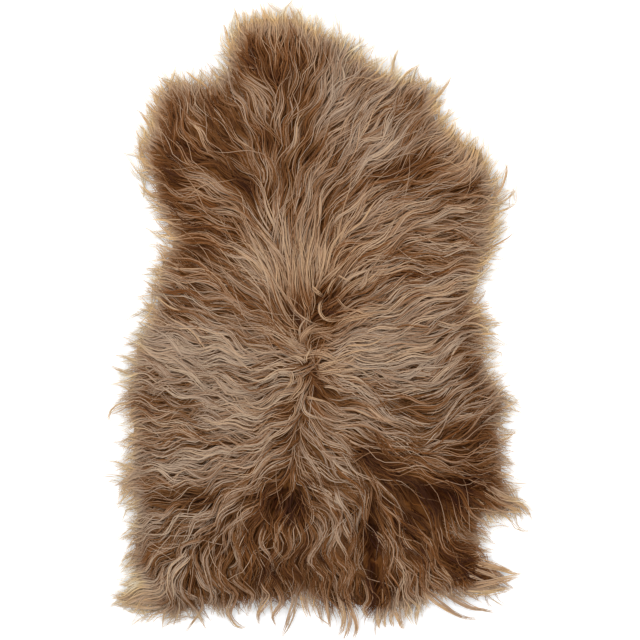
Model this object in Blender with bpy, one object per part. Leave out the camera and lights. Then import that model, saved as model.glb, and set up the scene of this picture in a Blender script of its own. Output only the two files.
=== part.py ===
"""A long-haired sheepskin rug lying flat: one tanned skin with its wool on, built as one solid.

The wool is a lumpy slab, combed outwards from a parting that runs down the back. Its rim breaks up
into tapering locks that lie level on the floor. Metres, +Z up, the back of the neck towards +Y,
origin under the middle of the rug.
"""

import math
import random
from collections import namedtuple

import bmesh
import bpy
from mathutils import Vector

MM = 0.001

# Driving sizes, in millimetres.
WOOL_TOP = 58.0  # top of the combed wool between the parting and the rim
PARTING_TOP = 46.0  # top of the wool along the parting
RIM_TOP = 15.0  # where the slab ends and its locks begin
TUFT_RISE = 15.0  # how far an average tuft's tips stand above its roots
CROWDED = 9.0  # combed lines nearer together than this carry flatter tufts
LOCK_TIP = 1.6  # width and height of a lock's blunt tip

# Shares of the way from the parting to the rim.
PARTING_EDGE = 0.31  # where the wool beside the parting reaches its full height
SHOULDER = 0.62  # where the wool starts to fall towards the rim
RINGS = (0.05, 0.12, 0.18, 0.24, 0.32, 0.39, 0.46, 0.53, 0.6, 0.67, 0.74, 0.81, 0.88, 0.94, 1.0)

FALL_POWER = 2.2  # how late the wool falls towards the rim: 1 is a quarter of an ellipse
TUFT_SINK = 0.35  # how far a tuft's roots lie below the plain slab, as a share of its rise
TUFT_LIFTS = (0.5, 1.3)  # the flattest and the fullest tuft

LOCKS = 168  # locks round the rim, one for each combed line of the slab
LOCK_WIDTH = 0.86  # a lock's width as a share of the room it has beside its neighbours
LOCK_STEPS = (0.28, 0.55, 0.8, 1.0)  # where along a lock its sections stand
LOCK_LENGTHS = (0.72, 1.16)  # the shortest and the longest, as a share of the reach there
LOCK_BEND = math.radians(14)  # how far a lock may turn from root to tip
LOCK_LEAN = math.radians(50)  # how far a lock may lean from square to the rim
SEED = 7

# The tufts lie in tiers, one behind another like shingles, from the parting out to the rim. Each
# tier ends at one of the rings, and each of its tufts is so many combed lines wide.
Tier = namedtuple("Tier", "end lines")
TIERS = [
    Tier(0.24, 8),
    Tier(0.46, 6),
    Tier(0.67, 4),
    Tier(0.88, 3),
    Tier(1.00, 3),
]

# The rim of the slab, clockwise from the left of the neck. Heading is the way the locks there
# point, in degrees from +X, and reach is how far their tips come past the slab.
RimRow = namedtuple("RimRow", "x y heading reach")
RIM = [
    RimRow(-131, 440, 122, 36),
    RimRow(-99, 474, 100, 38),
    RimRow(-29, 470, 90, 33),
    RimRow(35, 435, 75, 32),
    RimRow(99, 397, 58, 42),
    RimRow(131, 378, 56, 48),
    RimRow(160, 355, 57, 52),
    RimRow(182, 323, 55, 36),
    RimRow(237, 275, 68, 34),
    RimRow(262, 246, 70, 42),
    RimRow(272, 214, 58, 50),
    RimRow(269, 147, 36, 58),
    RimRow(250, 83, 44, 40),
    RimRow(243, 19, 18, 36),
    RimRow(256, -45, -24, 42),
    RimRow(282, -109, -18, 34),
    RimRow(288, -141, -24, 30),
    RimRow(278, -173, -32, 28),
    RimRow(288, -243, -38, 30),
    RimRow(298, -278, -42, 56),
    RimRow(275, -301, -38, 34),
    RimRow(250, -323, -22, 28),
    RimRow(246, -355, -12, 30),
    RimRow(269, -402, -10, 54),
    RimRow(246, -429, -24, 58),
    RimRow(170, -438, -62, 40),
    RimRow(99, -458, -92, 36),
    RimRow(32, -451, -80, 48),
    RimRow(-32, -432, -90, 56),
    RimRow(-96, -438, -96, 46),
    RimRow(-160, -448, -104, 40),
    RimRow(-192, -451, -118, 48),
    RimRow(-258, -451, -146, 46),
    RimRow(-277, -435, -176, 58),
    RimRow(-283, -410, -170, 34),
    RimRow(-287, -346, -166, 27),
    RimRow(-283, -285, -174, 30),
    RimRow(-290, -256, -164, 44),
    RimRow(-293, -192, -172, 28),
    RimRow(-293, -125, -172, 38),
    RimRow(-290, -61, 172, 42),
    RimRow(-264, 0, 152, 34),
    RimRow(-255, 32, 148, 30),
    RimRow(-243, 96, 166, 33),
    RimRow(-234, 128, 172, 36),
    RimRow(-259, 186, 152, 33),
    RimRow(-272, 253, 132, 30),
    RimRow(-262, 323, 132, 32),
    RimRow(-250, 355, 132, 33),
    RimRow(-224, 368, 134, 38),
    RimRow(-163, 371, 128, 30),
    RimRow(-141, 392, 142, 27),
]

# The parting that the wool is combed away from, neck end first.
ParRow = namedtuple("ParRow", "x y")
PARTING = [
    ParRow(-80, 168),
    ParRow(-45, 80),
    ParRow(-32, -16),
    ParRow(-27, -88),
    ParRow(-32, -176),
    ParRow(-38, -256),
]

# Soft troughs where the wool opens: between the two shoulders, at the whorls and across the rump.
Trough = namedtuple("Trough", "x y angle length width depth")
TROUGHS = [
    Trough(-130, 232, 125, 70, 26, 17),
    Trough(16, 35, 20, 34, 24, 12),
    Trough(-28, -80, 90, 40, 22, 10),
    Trough(-48, -292, 4, 62, 28, 20),
    Trough(176, -290, 8, 84, 30, 18),
    Trough(80, -338, 82, 52, 24, 16),
    Trough(-220, 140, 8, 52, 30, 10),
]


def turned(direction, angle):
    """direction turned anticlockwise by angle."""
    c, s = math.cos(angle), math.sin(angle)
    return Vector((direction.x * c - direction.y * s, direction.x * s + direction.y * c))


def curve_between(before, start, end, after, t):
    """The value at t, from 0 to 1, on the smooth curve from start to end."""
    bend = 2 * before - 5 * start + 4 * end - after
    twist = 3 * start - before - 3 * end + after
    return 0.5 * (2 * start + (end - before) * t + bend * t * t + twist * t ** 3)


def closed_curve(rows, count, steps=12):
    """count rows, evenly spaced along the smooth closed curve through rows of equal-length tuples."""
    dense = []
    for i in range(len(rows)):
        four = [rows[(i + k) % len(rows)] for k in (-1, 0, 1, 2)]
        dense += [[curve_between(*c, step / steps) for c in zip(*four)] for step in range(steps)]
    lengths = [0.0]
    for p, q in zip(dense, dense[1:] + dense[:1]):
        lengths.append(lengths[-1] + math.dist(p[:2], q[:2]))
    made = []
    at = 0
    for k in range(count):
        wanted = lengths[-1] * k / count
        while lengths[at + 1] < wanted:
            at += 1
        t = (wanted - lengths[at]) / (lengths[at + 1] - lengths[at])
        made.append([x + (y - x) * t for x, y in zip(dense[at], dense[(at + 1) % len(dense)])])
    return made


def rim_points():
    """The rim's evenly spaced points, and the unit heading and the reach of the locks at each."""
    rows = []
    for row in RIM:
        way = math.radians(row.heading)
        rows.append((row.x, row.y, math.cos(way), math.sin(way), row.reach))
    found = closed_curve(rows, LOCKS)
    points = [Vector(f[:2]) for f in found]
    headings = []
    for i, f in enumerate(found):
        along = (points[(i + 1) % LOCKS] - points[i - 1]).normalized()
        out = Vector((-along.y, along.x))
        lean = -out.angle_signed(Vector(f[2:4]))
        headings.append(turned(out, max(-LOCK_LEAN, min(LOCK_LEAN, lean))))
    return points, headings, [f[4] for f in found]


def nearest_on_parting(point):
    """The place on the parting that is nearest to point."""
    places = []
    for a, b in zip(PARTING, PARTING[1:]):
        start, along = Vector((a.x, a.y)), Vector((b.x - a.x, b.y - a.y))
        t = max(0.0, min(1.0, (point - start).dot(along) / along.length_squared))
        places.append(start + along * t)
    return min(places, key=lambda place: (point - place).length)


def evened(points, reach):
    """Each point averaged with its neighbours, reach of them to each side, round the ring."""
    near = range(-reach, reach + 1)
    return [
        sum((points[(i + k) % len(points)] for k in near), Vector((0.0, 0.0))) / len(near)
        for i in range(len(points))
    ]


def slab_height(share):
    """Height of the plain slab at a share of the way from the parting to the rim."""
    if share < SHOULDER:
        rise = math.sin(0.5 * math.pi * min(1.0, share / PARTING_EDGE))
        return PARTING_TOP + (WOOL_TOP - PARTING_TOP) * rise
    fall = (share - SHOULDER) / (1 - SHOULDER)
    return RIM_TOP + (WOOL_TOP - RIM_TOP) * math.sqrt(max(0.0, 1 - fall ** FALL_POWER))


def tuft_height(line, share, lifts):
    """Height that the tufts add where a combed line crosses a ring."""
    tier = next(k for k, row in enumerate(TIERS) if share <= row.end)
    begin = TIERS[tier - 1].end if tier else 0.0
    climb = (share - begin) / (TIERS[tier].end - begin)
    phase = line / TIERS[tier].lines + 0.5 * tier
    lift = lifts[tier][int(phase) % len(lifts[tier])]
    across = math.sin(math.pi * (phase % 1.0)) ** 2
    return TUFT_RISE * (lift * climb * across - TUFT_SINK)


def trough_depth(at):
    total = 0.0
    for t in TROUGHS:
        away = turned(Vector((at.x - t.x, at.y - t.y)), -math.radians(t.angle))
        total += t.depth * math.exp(-((away.x / t.length) ** 2) - (away.y / t.width) ** 2)
    return total


def slab_rings(rim):
    """Rings of points from the parting out to the rim, one point on each combed line, in metres."""
    rng = random.Random(SEED)
    lifts = [[rng.uniform(*TUFT_LIFTS) for _ in range(LOCKS // t.lines)] for t in TIERS]
    starts = evened([nearest_on_parting(p) for p in rim], 3)
    rings = []
    for share in RINGS:
        places = [start.lerp(end, share) for start, end in zip(starts, rim)]
        ring = []
        for i, at in enumerate(places):
            room = (places[(i + 1) % LOCKS] - places[i - 1]).length / 2
            lumps = tuft_height(i, share, lifts) * min(1.0, room / CROWDED) - trough_depth(at)
            top = slab_height(share) + lumps * (1 - share ** 4)
            ring.append(Vector((at.x, at.y, max(top, RIM_TOP))) * MM)
        rings.append(ring)
    return rings


def lock_sections(a, b, heading, reach, bend):
    """The (left, right, top) of each section of the lock that leaves the rim between a and b."""
    edge = (b - a).xy
    room = edge.length * abs(edge.normalized().dot(turned(heading, math.pi / 2)))
    sections = []
    at, before = (a + b).xy / 2, 0.0
    for t in LOCK_STEPS:
        way = turned(heading, bend * t)
        at = at + way * reach * (t - before)
        before = t
        width = max(LOCK_TIP * MM, room * LOCK_WIDTH * (1 - t) ** 0.7)
        side = turned(way, math.pi / 2) * width / 2
        top = (LOCK_TIP + (RIM_TOP - LOCK_TIP) * (1 - t) ** 1.3) * MM
        sections.append((at + side, at - side, top))
    return sections


def add_lock(bm, corners, sections):
    """A lock that grows out of its four root corners, with its underside on the floor."""
    for left, right, top in sections:
        places = ((left, top), (right, top), (right, 0.0), (left, 0.0))
        ends = [bm.verts.new((at.x, at.y, height)) for at, height in places]
        for k in range(4):
            bm.faces.new((corners[k - 1], corners[k], ends[k], ends[k - 1]))
        corners = ends
    bm.faces.new(corners)


def sheepskin_mesh():
    rim, headings, reaches = rim_points()
    rings = slab_rings(rim)
    bm = bmesh.new()
    tops = [[bm.verts.new(p) for p in ring] for ring in rings]
    floor = [bm.verts.new((p.x, p.y, 0.0)) for p in rings[-1]]
    bm.faces.new(tops[0])
    bm.faces.new(floor)
    rng = random.Random(SEED + 1)
    for i in range(LOCKS):
        j = (i + 1) % LOCKS
        for inner, outer in zip(tops, tops[1:]):
            bm.faces.new((inner[i], inner[j], outer[j], outer[i]))
        heading = (headings[i] + headings[j]).normalized()
        reach = (reaches[i] + reaches[j]) / 2 * MM * rng.uniform(*LOCK_LENGTHS)
        bend = rng.uniform(-LOCK_BEND, LOCK_BEND)
        sections = lock_sections(rings[-1][i], rings[-1][j], heading, reach, bend)
        add_lock(bm, (tops[-1][i], tops[-1][j], floor[j], floor[i]), sections)
    bmesh.ops.recalc_face_normals(bm, faces=bm.faces)
    for k in (0, 1):
        places = [v.co[k] for v in bm.verts]
        middle = Vector((0.0, 0.0, 0.0))
        middle[k] = (min(places) + max(places)) / 2
        bmesh.ops.translate(bm, verts=bm.verts, vec=-middle)
    mesh = bpy.data.meshes.new("sheepskin")
    bm.to_mesh(mesh)
    bm.free()
    return mesh


def wool_material():
    material = bpy.data.materials.new("wool")
    material.use_nodes = True
    shader = material.node_tree.nodes["Principled BSDF"]
    shader.inputs["Base Color"].default_value = (0.24, 0.14, 0.08, 1.0)
    shader.inputs["Roughness"].default_value = 0.7
    shader.inputs["Metallic"].default_value = 0.0
    return material


def main():
    for obj in list(bpy.data.objects):
        bpy.data.objects.remove(obj)
    mesh = sheepskin_mesh()
    mesh.materials.append(wool_material())
    mesh.shade_smooth()
    mesh.set_sharp_from_angle(angle=math.radians(50))
    bpy.context.scene.collection.objects.link(bpy.data.objects.new("sheepskin", mesh))


main()
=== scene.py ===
import math

import bmesh
import bpy
import numpy as np
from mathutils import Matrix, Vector
from mathutils.bvhtree import BVHTree


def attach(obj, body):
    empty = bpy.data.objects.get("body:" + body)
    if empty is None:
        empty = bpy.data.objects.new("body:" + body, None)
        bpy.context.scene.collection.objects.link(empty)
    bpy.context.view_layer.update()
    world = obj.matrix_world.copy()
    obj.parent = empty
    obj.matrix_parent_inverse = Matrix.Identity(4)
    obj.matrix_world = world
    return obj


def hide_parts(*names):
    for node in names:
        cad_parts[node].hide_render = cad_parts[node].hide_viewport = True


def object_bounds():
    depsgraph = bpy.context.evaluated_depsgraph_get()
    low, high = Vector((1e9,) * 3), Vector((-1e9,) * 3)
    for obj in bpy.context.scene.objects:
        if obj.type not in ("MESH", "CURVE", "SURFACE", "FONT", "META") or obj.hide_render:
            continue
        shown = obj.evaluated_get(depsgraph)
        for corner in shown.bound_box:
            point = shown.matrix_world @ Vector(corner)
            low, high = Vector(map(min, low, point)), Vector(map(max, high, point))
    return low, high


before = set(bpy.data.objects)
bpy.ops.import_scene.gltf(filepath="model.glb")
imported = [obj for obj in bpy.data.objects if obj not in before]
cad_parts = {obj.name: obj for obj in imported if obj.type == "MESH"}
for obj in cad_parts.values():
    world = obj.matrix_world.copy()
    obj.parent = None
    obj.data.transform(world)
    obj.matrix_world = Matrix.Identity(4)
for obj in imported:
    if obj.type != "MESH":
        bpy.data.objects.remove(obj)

cadLow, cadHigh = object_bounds()
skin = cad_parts["sheepskin"]
mm = 0.001

# All tables below are in millimetres and degrees: +Y is the neck, 0 degrees is +X.

# The rim of the skin, clockwise from the left of the neck: x, y
rim = [
    (-126, 432), (-94, 466), (-24, 462), (40, 427), (104, 389), (136, 370), (165, 347), (187, 315),
    (242, 267), (267, 238), (277, 206), (274, 139), (255, 75), (248, 11), (261, -53), (287, -117),
    (293, -149), (283, -181), (293, -251), (303, -286), (280, -309), (255, -331), (251, -363),
    (274, -410), (251, -437), (175, -446), (104, -466), (37, -459), (-27, -440), (-91, -446),
    (-155, -456), (-187, -459), (-248, -459), (-272, -443), (-278, -418), (-282, -354),
    (-278, -293), (-285, -264), (-288, -200), (-288, -133), (-285, -69), (-259, -8), (-250, 24),
    (-243, 88), (-229, 120), (-254, 178), (-267, 245), (-257, 315), (-245, 347), (-219, 360),
    (-158, 363), (-136, 384),
]

# Where the wool ends all round, seen from above: x, y
woolEdge = [
    (-143, 440), (-136, 459), (-124, 474), (-94, 484), (-67, 485), (-40, 485), (-17, 476), (7, 459),
    (37, 447), (58, 434), (82, 411), (109, 392), (134, 384), (165, 380), (188, 362), (193, 326),
    (210, 301), (237, 284), (264, 268), (282, 238), (289, 210), (291, 185), (293, 160), (290, 131),
    (284, 107), (271, 86), (261, 56), (253, 32), (261, 14), (272, -5), (273, -32), (274, -58), (276, -82),
    (286, -104), (304, -123), (310, -141), (302, -165), (296, -187), (301, -213), (304, -240),
    (306, -267), (311, -288), (334, -309), (301, -322), (274, -328), (266, -345), (262, -368),
    (266, -393), (288, -411), (306, -422), (296, -436), (255, -440), (215, -450), (184, -453),
    (171, -466), (133, -472), (109, -485), (88, -478), (61, -469), (29, -472), (2, -466), (-8, -448),
    (-31, -453), (-43, -462), (-83, -461), (-107, -466), (-131, -472), (-163, -475), (-191, -477),
    (-227, -478), (-267, -475), (-303, -467), (-328, -451), (-294, -430), (-294, -411), (-305, -386),
    (-299, -360), (-297, -336), (-294, -304), (-299, -290), (-323, -277), (-305, -251), (-302, -224),
    (-303, -200), (-300, -176), (-309, -155), (-315, -136), (-304, -114), (-301, -88), (-296, -59),
    (-288, -32), (-274, -8), (-262, 16), (-264, 43), (-258, 64), (-254, 88), (-243, 104), (-234, 120),
    (-244, 139), (-255, 156), (-261, 176), (-264, 197), (-270, 216), (-277, 235), (-283, 261),
    (-280, 283), (-272, 309), (-267, 331), (-261, 352), (-251, 373), (-227, 381), (-195, 379),
    (-163, 379), (-152, 389), (-146, 411),
]

# The parting down the back, neck end first: x, y
parting = [(-75, 160), (-40, 72), (-27, -24), (-22, -96), (-27, -184), (-33, -264)]

# How the wool is combed: x, y and the way its tips point
comb = [
    # neck
    (-125, 410, 115), (-90, 455, 95), (-45, 410, 90), (-10, 425, 85), (-140, 385, 120),
    (-105, 345, 130), (-75, 295, 105), (-25, 330, 60), (5, 375, 70), (-10, 265, 62), (20, 295, 52),
    (-75, 185, 92), (-25, 185, 75), (-25, 135, 82), (15, 135, 75), (-25, 85, 85), (-60, 90, 108),
    (5, 70, 72), (-100, 110, 125),
    # left shoulder
    (-185, 370, 98), (-235, 370, 130), (-210, 330, 108), (-170, 280, 135), (-240, 295, 97),
    (-220, 250, 155), (-275, 305, 120), (-275, 265, 130), (-185, 240, 150), (-235, 215, 165),
    (-265, 220, 150), (-255, 175, 150), (-185, 175, 168), (-140, 190, 150), (-105, 160, 138),
    (-220, 135, 177), (-185, 120, 165), (-140, 105, 145), (-125, 265, 128),
    # left side
    (-245, 85, 172), (-185, 55, 155), (-140, 40, 147), (-90, 25, 135), (-50, 30, 118),
    (-260, 25, 158), (-205, 10, 147), (-155, -10, 168), (-105, -15, 150), (-60, -25, 135),
    (-285, -40, 172), (-220, -40, 158), (-170, -50, 165), (-125, -50, 165), (-70, -65, 157),
    (-285, -90, 175), (-235, -80, 160), (-185, -85, 178), (-125, -80, 167), (-75, -80, 190),
    (-290, -120, 185), (-235, -120, 160), (-185, -110, 180), (-125, -110, 165), (-45, -110, 225),
    (-290, -160, 190), (-235, -160, 185), (-185, -150, 165), (-125, -150, 162), (-75, -145, 190),
    (-265, -200, 190), (-220, -200, 185), (-155, -200, 178), (-90, -185, 185), (-50, -185, 215),
    (-305, -230, 188), (-220, -240, 185), (-155, -240, 188), (-105, -230, 200), (-65, -215, 220),
    (-315, -265, 212),
    # left of the rump
    (-265, -270, 178), (-220, -280, 185), (-265, -310, 195), (-220, -310, 205), (-170, -295, 215),
    (-125, -280, 220), (-90, -270, 225), (-250, -345, 210), (-205, -335, 215), (-155, -320, 220),
    (-275, -385, 208), (-235, -375, 222), (-205, -375, 240), (-185, -395, 270), (-155, -360, 250),
    (-260, -425, 225), (-220, -425, 262), (-180, -415, 290), (-125, -390, 280), (-105, -360, 265),
    (-125, -330, 245), (-290, -455, 190), (-185, -455, 300), (-140, -455, 290), (-105, -455, 270),
    # rump
    (-65, -345, 270), (-45, -370, 265), (-25, -330, 242), (-10, -360, 252), (20, -330, 265),
    (20, -375, 290), (55, -345, 262), (55, -395, 290), (35, -445, 290), (-25, -440, 287),
    (-65, -415, 278), (95, -430, 272), (115, -465, 266), (-10, -295, 330), (55, -295, 312),
    (35, -265, 320), (85, -255, 300), (70, -315, 248),
    # right of the rump
    (230, -185, 28), (270, -185, 12), (260, -220, 8), (195, -250, 355), (230, -265, 335),
    (270, -275, 332), (315, -305, 337), (195, -295, 288), (230, -315, 288), (245, -345, 302),
    (195, -345, 300), (220, -370, 328), (260, -375, 342), (135, -330, 315), (150, -365, 310),
    (135, -385, 268), (165, -395, 292), (195, -410, 302), (245, -410, 335), (285, -420, 347),
    (215, -445, 320), (175, -445, 300), (145, -460, 277),
    # right side
    (35, -10, 17), (85, 10, 20), (135, 10, 20), (180, 25, 33), (230, 25, 16), (55, -40, 12),
    (100, -40, 5), (150, -30, 20), (195, -25, 22), (255, -25, 5), (285, -50, 338), (55, -70, 5),
    (100, -70, 357), (150, -70, 8), (195, -70, 40), (235, -85, 42), (270, -90, 22),
    (35, -105, 345), (85, -110, 352), (135, -120, 335), (175, -120, 12), (220, -120, 40),
    (260, -120, 25), (300, -130, 5), (300, -155, 350), (35, -140, 340), (85, -140, 340),
    (135, -150, 330), (180, -145, 28), (230, -145, 30), (275, -145, 15), (35, -170, 340),
    (85, -180, 340), (135, -185, 330), (180, -180, 25), (230, -170, 33), (10, -185, 320),
    (30, -225, 325), (85, -210, 338), (-10, -205, 300), (135, -230, 345),
    # right shoulder
    (35, 390, 65), (35, 330, 55), (70, 345, 50), (100, 360, 45), (150, 370, 48), (180, 365, 60),
    (35, 265, 60), (85, 280, 45), (135, 295, 45), (180, 295, 55), (230, 280, 60), (260, 270, 74),
    (35, 200, 50), (85, 215, 32), (135, 230, 30), (180, 250, 28), (215, 215, 20), (250, 230, 38),
    (275, 230, 72), (40, 150, 60), (90, 150, 32), (135, 170, 25), (180, 175, 18), (230, 175, 0),
    (265, 170, 6), (295, 165, 33), (55, 115, 45), (100, 120, 22), (150, 125, 18), (195, 140, 2),
    (230, 125, 5), (275, 130, 27), (55, 85, 32), (100, 95, 20), (150, 100, 8), (195, 95, 352),
    (255, 85, 10), (85, 55, 55), (135, 60, 5), (180, 70, 0), (230, 60, 10),
]
combReach = 24  # how far one row of the comb is felt

# How the locks wave: x, y, the swing of the wave and its pitch
waves = [
    (-60, 400, 3.2, 62), (100, 330, 3.4, 76), (-200, 290, 3.6, 60), (-60, 200, 3.8, 72),
    (150, 150, 4.2, 84), (-180, 60, 4.4, 66), (-200, -80, 5.0, 68), (-200, -220, 4.8, 62),
    (120, -40, 3.8, 78), (150, -150, 3.8, 74), (-30, -100, 4.5, 55), (-200, -380, 6.5, 66),
    (-60, -360, 8.5, 68), (60, -370, 8.5, 68), (180, -380, 6.0, 70), (230, -240, 4.2, 72),
    (250, 100, 4.6, 80),
]
waveReach = 80

# Patches of warmer and greyer wool: x, y, half its length, half its width, its turn, its warmth
warmPatches = [
    (-91, 440, 50, 40, 0, 1.1), (-251, 296, 45, 75, 0, 0.8), (-211, 120, 45, 75, 0, 0.8),
    (21, 128, 160, 55, 0, 0.6), (-3, 40, 70, 55, 0, 1.0), (5, -88, 32, 75, 0, 0.9),
    (221, 272, 40, 70, 25, 0.8), (253, 16, 25, 60, 0, 0.6), (-283, -168, 22, 60, 0, 0.6),
    (229, -400, 60, 28, 0, 0.8), (261, -280, 32, 32, 0, 0.7), (-91, -328, 30, 35, 0, 0.6),
    (-193, -84, 90, 90, 0, -1.0), (165, -112, 90, 85, 0, -0.8), (-211, -312, 75, 130, 0, -1.0),
    (29, -280, 60, 90, 0, -0.8), (45, 344, 42, 42, 0, -0.8), (117, 264, 42, 42, 0, -0.5),
    (-107, -464, 140, 26, 0, -0.3), (205, 144, 30, 42, 0, -0.5),
]

# Patches of darker and lighter wool, partly its own tone and partly painted shade in its gaps and hollows
# and painted light on its lumps: x, y, half its length, half its width, its turn, its tone
patches = [
    (-62, 468, 76, 22, 0, 0.42), (-94, 421, 35, 22, 0, -0.2), (-43, 363, 26, 42, 0, -0.34),
    (29, 379, 26, 58, -70, 0.2), (-8, 312, 19, 32, 0, 0.12), (85, 296, 45, 29, 35, 0.2),
    (56, 354, 19, 16, 0, -0.1), (155, 349, 32, 16, -30, -0.18), (-115, 344, 22, 29, 0, 0.1),
    (-83, 280, 19, 22, 0, -0.24), (-131, 296, 16, 21, 0, -0.18), (-15, 272, 13, 35, 0, -0.22),
    (-194, 309, 16, 38, 0, 0.1), (-219, 325, 14, 35, 0, -0.18), (-195, 256, 35, 19, 0, -0.28),
    (-247, 248, 19, 42, 0, -0.14), (-118, 213, 45, 16, -40, -0.4), (-191, 115, 35, 29, 0, -0.28),
    (-227, 120, 19, 22, 0, -0.15), (-67, 165, 19, 45, 0, 0.12), (-78, 85, 35, 54, 10, 0.24),
    (-11, 200, 32, 32, 0, 0.1), (14, 142, 16, 35, 0, -0.14), (45, 222, 19, 13, 0, -0.14),
    (141, 229, 48, 16, 22, -0.28), (255, 200, 26, 12, 15, -0.24), (205, 189, 32, 16, 0, -0.12),
    (114, 261, 38, 14, 30, 0.14), (94, 149, 61, 29, 15, 0.16), (190, 126, 54, 22, 0, 0.06),
    (24, 27, 42, 24, 0, -0.34), (-27, 18, 13, 26, 0, -0.16), (114, 11, 58, 29, 15, 0.18),
    (187, 37, 29, 16, 40, 0.14), (136, -48, 83, 38, 0, 0.2), (82, -91, 45, 19, 0, 0.12),
    (-5, -94, 18, 32, 0, -0.2), (21, -139, 35, 19, -20, -0.14), (-168, -48, 86, 45, -10, 0.2),
    (-242, -56, 45, 45, 0, 0.14), (-139, -149, 51, 42, 0, 0.2), (-270, -139, 32, 22, 0, -0.14),
    (-223, -181, 42, 13, 0, -0.12), (-40, -187, 16, 45, 0, -0.16), (-75, -91, 26, 16, 0, -0.08),
    (245, -82, 21, 29, 0, -0.22), (240, -27, 18, 26, 0, -0.16), (178, -133, 74, 10, 0, -0.16),
    (62, -174, 54, 14, -10, 0.08), (261, -197, 32, 26, 20, -0.32), (46, -226, 19, 26, 0, 0.1),
    (-235, -240, 51, 27, 0, 0.16), (-152, -232, 45, 21, 0, 0.1), (-251, -294, 51, 11, 0, -0.28),
    (-107, -286, 38, 16, 0, -0.14), (-43, -304, 32, 24, 0, -0.52), (13, -270, 32, 13, 0, -0.24),
    (30, -291, 13, 11, 0, 0.24), (86, -354, 14, 61, 0, -0.5), (94, -440, 26, 32, 0, -0.26),
    (114, -242, 35, 19, -20, -0.24), (194, -283, 51, 24, 0, -0.5), (155, -328, 19, 22, 0, -0.34),
    (264, -261, 32, 35, 0, -0.3), (212, -352, 20, 32, 20, 0.14), (238, -392, 48, 29, -20, -0.36),
    (-67, -418, 42, 21, 0, -0.3), (-152, -354, 22, 22, 30, -0.16), (-27, -373, 22, 26, 0, -0.22),
    (-104, -347, 19, 22, 0, -0.16), (-195, -418, 13, 14, 0, -0.22), (-232, -373, 35, 38, 0, 0.1),
    (24, -360, 16, 54, 0, 0.16), (-211, -469, 26, 11, 0, -0.2), (-27, -376, 320, 90, 0, -0.1),
    (221, -296, 96, 90, 0, -0.1), (-203, 280, 80, 96, 0, -0.06), (-30, -450, 200, 22, 0, -0.27),
    (-133, 392, 36, 24, 0, -0.34), (-80, 376, 34, 14, -20, -0.14), (-160, 350, 22, 56, 10, -0.25),
    (-75, 336, 20, 24, 0, 0.14),
    (-3, 402, 20, 22, 0, -0.12), (37, 336, 18, 34, 0, 0.25), (141, 374, 32, 16, -30, 0.2),
    (-56, 212, 15, 32, 0, -0.3), (-68, 262, 15, 24, 0, -0.15), (2, 250, 30, 12, 0, -0.12),
    (-155, 252, 40, 16, -30, 0.08), (-245, 232, 26, 22, 0, -0.08), (-112, 134, 40, 18, 20, -0.16),
    (-8, 92, 26, 46, 0, 0.28), (58, 55, 28, 16, 15, 0.25), (112, 254, 36, 12, 30, 0.15),
    (236, 262, 50, 26, -38, 0.38), (272, 236, 16, 34, 0, 0.3), (276, 144, 20, 30, 0, 0.4),
    (160, 56, 50, 18, 10, -0.14), (-234, 6, 30, 22, -15, -0.22), (-200, -14, 80, 42, 0, -0.06),
    (10, -8, 18, 14, 0, -0.18), (-106, -56, 17, 12, 0, 0.18), (64, -62, 42, 20, 0, 0.13),
    (180, -103, 30, 18, 15, 0.18), (252, -84, 34, 20, -60, -0.1), (298, -232, 14, 56, 0, -0.3),
    (248, -160, 22, 14, 0, 0.12), (250, -210, 20, 20, 0, 0.14), (250, -280, 28, 14, 0, 0.2),
    (44, -150, 44, 14, 0, 0.1), (94, -190, 26, 14, -20, -0.16), (160, -176, 50, 12, 0, -0.12),
    (-266, -212, 22, 14, 0, -0.16), (-66, -216, 16, 16, 0, 0.17), (-128, -280, 42, 22, 0, 0.14),
    (-190, -315, 44, 16, 0, 0.1), (-298, -282, 18, 12, 0, 0.2), (38, -320, 16, 16, 0, -0.22),
    (18, -398, 15, 32, 0, -0.24), (-31, -356, 13, 32, 0, 0.2), (-79, -392, 12, 34, 0, -0.14),
    (264, -402, 28, 26, 0, -0.7), (258, -350, 18, 14, 0, -0.2), (-284, -437, 42, 16, 0, 0.85),
    (155, -468, 30, 16, 0, 0.4), (-229, 214, 20, 20, 0, -0.3),
    (78, -224, 24, 18, 0, -0.3), (-186, -290, 24, 18, 0, -0.3), (-262, -474, 24, 10, 0, -0.4),
    (56, -470, 40, 18, 0, -0.7), (-82, -456, 42, 12, 0, -0.14), (157, -436, 14, 26, 0, 0.15),
    (-273, 300, 14, 38, 0, 0.3), (-238, 185, 60, 14, -25, -0.14), (-255, 364, 20, 14, 0, 0.18),
]
patchFade = 0.8  # how fast a patch fades outward

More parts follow.
